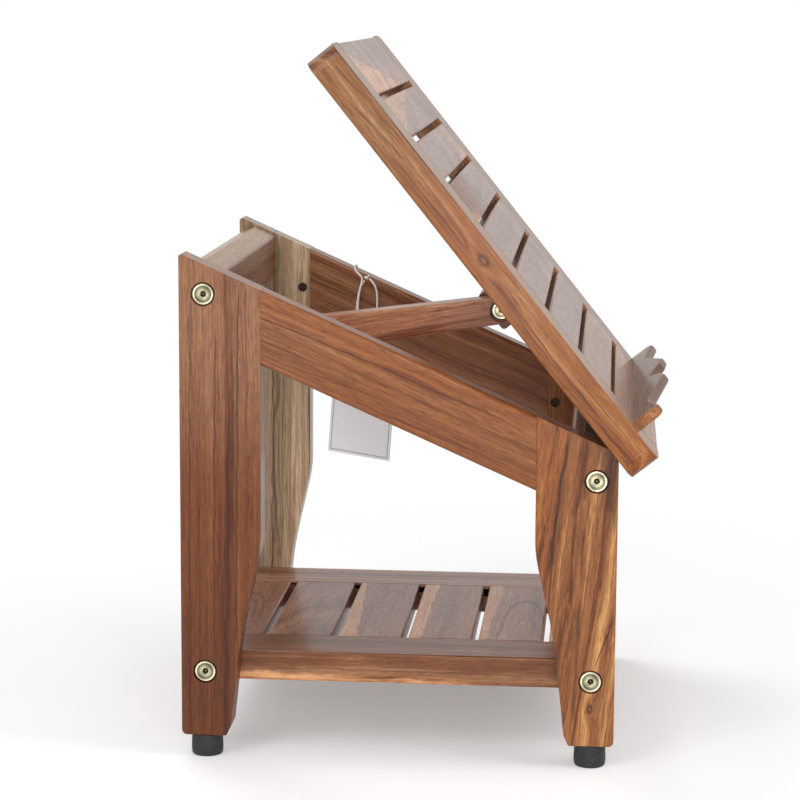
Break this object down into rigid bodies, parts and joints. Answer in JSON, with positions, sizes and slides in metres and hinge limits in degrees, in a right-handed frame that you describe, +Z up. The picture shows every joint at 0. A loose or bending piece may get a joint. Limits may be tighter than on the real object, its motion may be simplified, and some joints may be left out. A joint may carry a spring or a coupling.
{
  "type": "footstool",
  "caption": "Low wooden stool with a slatted shelf, tapered legs and a sloping frame that carries a hinged slatted footrest held open by a prop arm, with a scalloped stop along its low edge.",
  "frame": {"origin": "on the floor, below the centre of the box round the stool with its footrest open, without the hang tag", "axes": "+X from the high rear to the low front, +Y from the near side frame to the far one, +Z up"},
  "size_m": [0.3662, 0.366, 0.5408],
  "materials": {
    "teak_legs": "satin clear coat",
    "teak_side_rails": "satin clear coat",
    "teak_crossbars": "satin clear coat",
    "teak_shelf": "satin clear coat",
    "teak_panel_rails": "satin clear coat",
    "teak_slats": "satin clear coat",
    "teak_lip": "satin clear coat",
    "teak_prop": "satin clear coat",
    "dowel": "sanded",
    "yellow_zinc": "yellow zinc plate",
    "dark_screw": "dark",
    "insert": "zinc plate",
    "foot_rubber": "matt",
    "steel": "plain zinc plate",
    "cotton_string": "twisted cotton",
    "tag_card": "coated card"
  },
  "bodies": {
    "frame": {"leg_rear_near": "teak_legs", "leg_rear_far": "teak_legs", "leg_front_near": "teak_legs", "leg_front_far": "teak_legs", "rail_near": "teak_side_rails", "rail_far": "teak_side_rails", "crossbar_rear": "teak_crossbars", "crossbar_front": "teak_crossbars", "shelf_rail_near": "teak_shelf", "shelf_rail_far": "teak_shelf", "shelf_slat_1": "teak_shelf", "shelf_slat_2": "teak_shelf", "shelf_slat_3": "teak_shelf", "shelf_slat_4": "teak_shelf", "shelf_slat_5": "teak_shelf", "shelf_slat_6": "teak_shelf", "frame_bolts": "yellow_zinc", "bolt_inserts": "insert", "tenon_screws": "dark_screw", "prop_rack_near": "teak_prop", "prop_rack_far": "teak_prop", "rack_screws": "steel", "hinge_leaves_lower": "steel", "hinge_pins": "steel", "hinge_screws_lower": "steel", "foot_inserts": "insert", "tag_string": "cotton_string", "string_knot": "cotton_string", "hang_tag": "tag_card"},
    "panel": {"panel_rail_near": "teak_panel_rails", "panel_rail_far": "teak_panel_rails", "panel_end_upper": "teak_slats", "panel_end_lower": "teak_slats", "panel_slat_1": "teak_slats", "panel_slat_2": "teak_slats", "panel_slat_3": "teak_slats", "panel_slat_4": "teak_slats", "panel_slat_5": "teak_slats", "panel_slat_6": "teak_slats", "panel_slat_7": "teak_slats", "foot_lip": "teak_lip", "lip_screws": "steel", "prop_block": "teak_prop", "block_screws": "steel", "prop_bolt": "yellow_zinc", "prop_washer": "yellow_zinc", "block_insert": "insert", "hinge_leaves_upper": "steel", "hinge_screws_upper": "steel"},
    "prop": {"prop_arm": "teak_prop", "prop_dowel": "dowel"},
    "foot_rear_near": {"foot_pad_rear_near": "foot_rubber", "foot_stem_rear_near": "steel"},
    "foot_rear_far": {"foot_pad_rear_far": "foot_rubber", "foot_stem_rear_far": "steel"},
    "foot_front_near": {"foot_pad_front_near": "foot_rubber", "foot_stem_front_near": "steel"},
    "foot_front_far": {"foot_pad_front_far": "foot_rubber", "foot_stem_front_far": "steel"}
  },
  "joints": [
    {"name": "panel_tilt", "type": "hinge", "parent": "frame", "child": "panel", "pos_m": [0.13942, 0, 0.24126], "axis": [0, 1, 0], "range_deg": [-26.9, 0]},
    {"name": "prop_swing", "type": "hinge", "parent": "panel", "child": "prop", "pos_m": [0.04958, 0, 0.32762], "axis": [0, 1, 0], "range_deg": [0, 59.45]},
    {"name": "foot_level_rear_near", "type": "slide", "parent": "frame", "child": "foot_rear_near", "axis": [0, 0, -1], "range_m": [0, 0.006]},
    {"name": "foot_level_rear_far", "type": "slide", "parent": "frame", "child": "foot_rear_far", "axis": [0, 0, -1], "range_m": [0, 0.006]},
    {"name": "foot_level_front_near", "type": "slide", "parent": "frame", "child": "foot_front_near", "axis": [0, 0, -1], "range_m": [0, 0.006]},
    {"name": "foot_level_front_far", "type": "slide", "parent": "frame", "child": "foot_front_far", "axis": [0, 0, -1], "range_m": [0, 0.006]}
  ],
  "couplings": [
    {"joint": "prop_swing", "follows": "panel_tilt", "ratio": -2.205}
  ]
}
